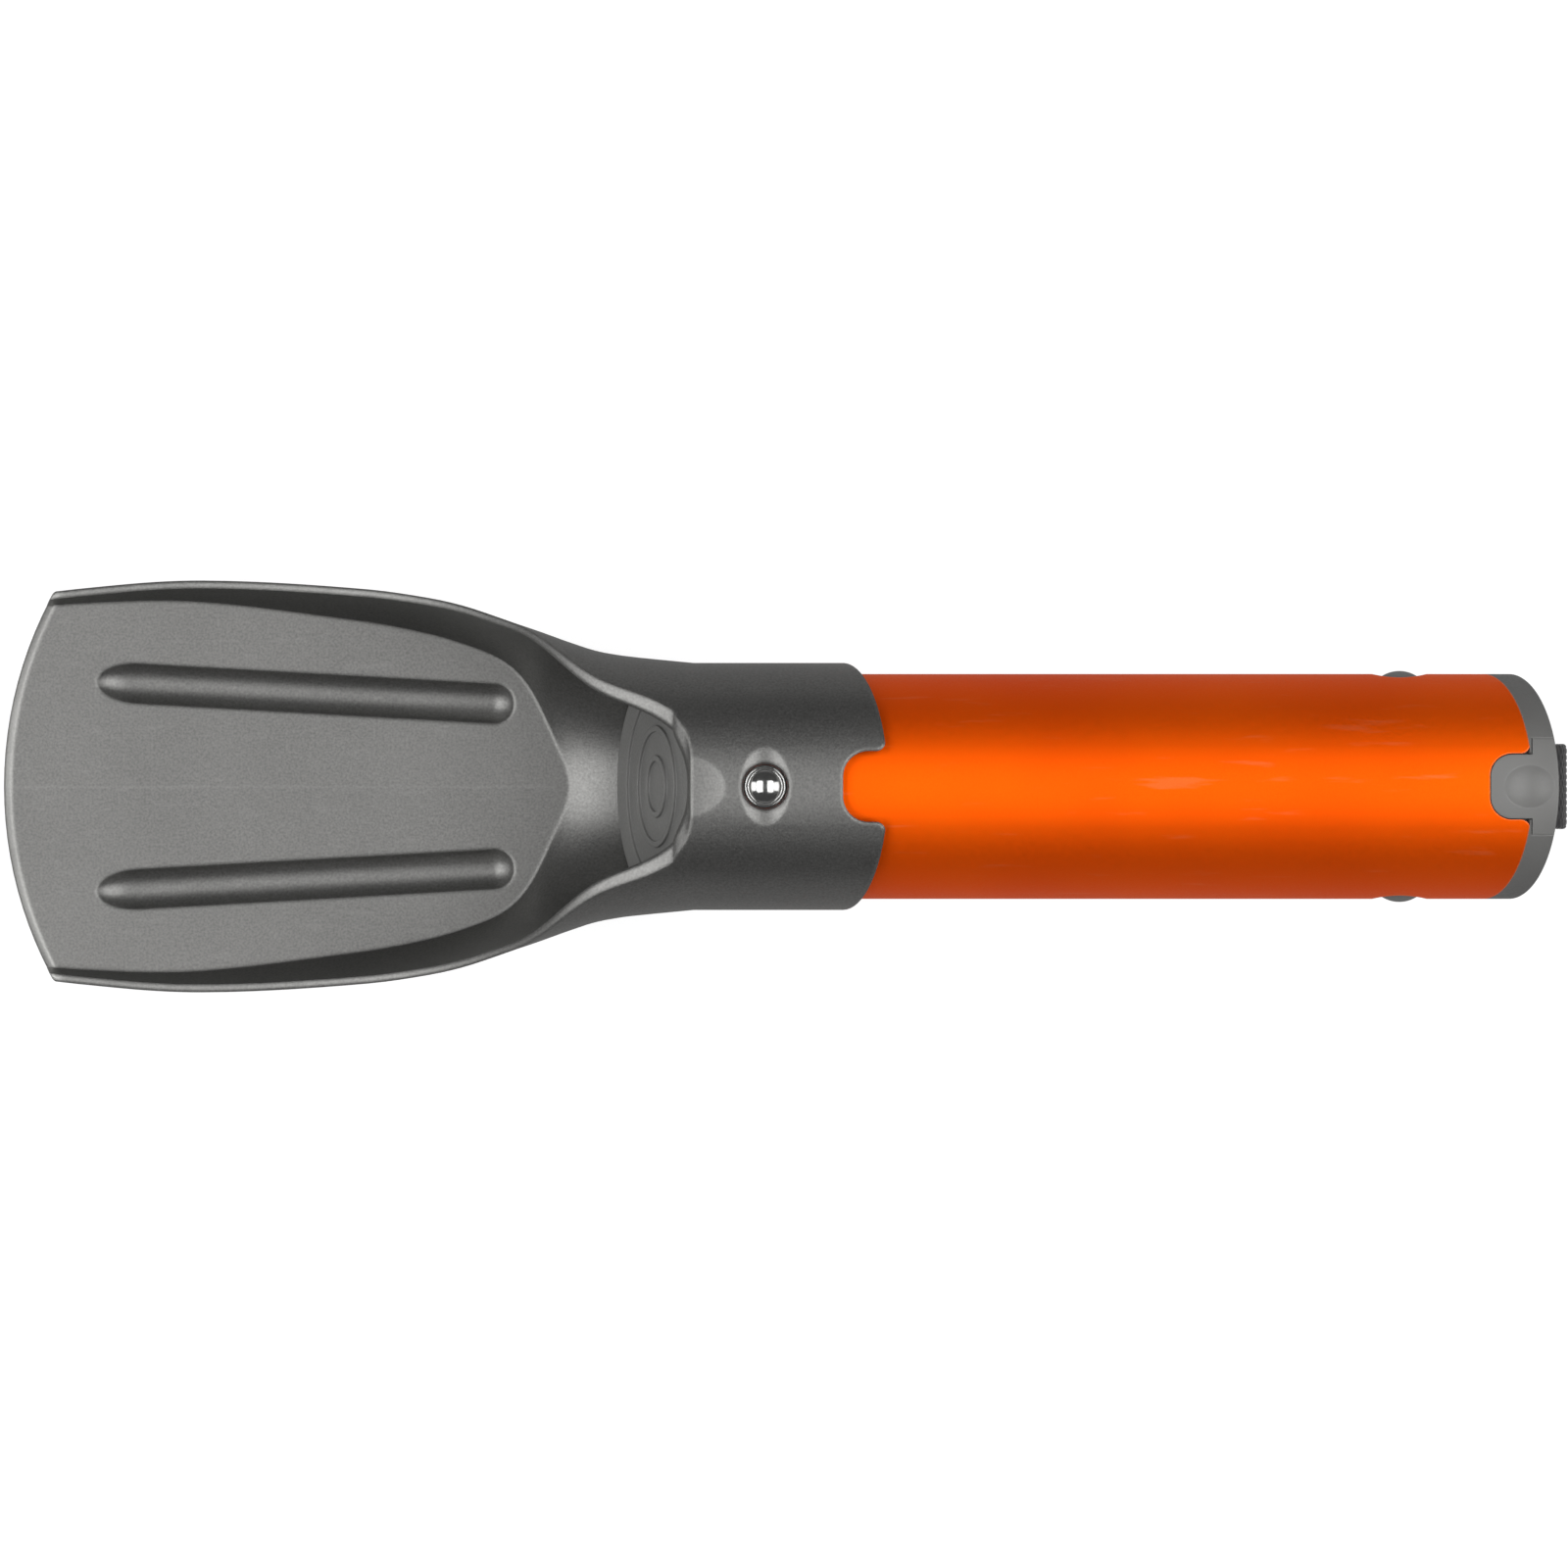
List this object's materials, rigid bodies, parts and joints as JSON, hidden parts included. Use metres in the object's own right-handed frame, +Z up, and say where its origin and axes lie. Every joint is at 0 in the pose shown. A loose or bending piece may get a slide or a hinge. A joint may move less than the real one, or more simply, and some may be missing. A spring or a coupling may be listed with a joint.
{
  "type": "collapsible camp trowel",
  "caption": "Compact camp shovel: a ribbed alloy scoop with a collar, and a tube handle that locks out with a snap button, slides in to stow, and has a pull-out end cap.",
  "frame": {"origin": "under the middle of the extended trowel, on the surface that the blade's ribs rest on", "axes": "+X from the blade's tip towards the pull strap, +Y across, +Z up out of the open side of the scoop"},
  "size_m": [0.254, 0.067, 0.0446],
  "materials": {
    "grey_anodised_alloy": "hard anodised, fine satin grain",
    "orange_anodised_alloy": "satin anodised colour on drawn alloy tube",
    "grey_plastic": "fine matt moulded",
    "dark_plastic": "matt moulded",
    "polished_steel": "polished",
    "spring_steel": "drawn wire",
    "black_webbing": "woven webbing"
  },
  "bodies": {
    "scoop": {"blade_head": "grey_anodised_alloy"},
    "handle": {"handle_tube": "orange_anodised_alloy", "nose_plug": "grey_plastic", "snap_spring": "spring_steel"},
    "button": {"snap_button": "polished_steel"},
    "cap": {"end_cap": "dark_plastic", "cap_tab": "grey_plastic", "latch_spring": "spring_steel", "pull_strap": "black_webbing"},
    "latch_left": {"latch_button_left": "grey_plastic"},
    "latch_right": {"latch_button_right": "grey_plastic"}
  },
  "joints": [
    {"name": "handle_slide", "type": "slide", "parent": "scoop", "child": "handle", "axis": [-1, 0, 0], "range_m": [0, 0.1029]},
    {"name": "button_press", "type": "slide", "parent": "handle", "child": "button", "axis": [0, 0, -1], "range_m": [0, 0.0029], "stiffness_N_per_m": 800, "springref_m": -0.002, "deforming": ["snap_spring"]},
    {"name": "cap_pull", "type": "slide", "parent": "handle", "child": "cap", "axis": [1, 0, 0], "range_m": [0, 0.11]},
    {"name": "latch_left_press", "type": "slide", "parent": "cap", "child": "latch_left", "axis": [0, -1, 0], "range_m": [0, 0.0022], "stiffness_N_per_m": 600, "springref_m": -0.003, "deforming": ["latch_spring"]},
    {"name": "latch_right_press", "type": "slide", "parent": "cap", "child": "latch_right", "axis": [0, 1, 0], "range_m": [0, 0.0022], "stiffness_N_per_m": 600, "springref_m": -0.003, "deforming": ["latch_spring"]}
  ]
}
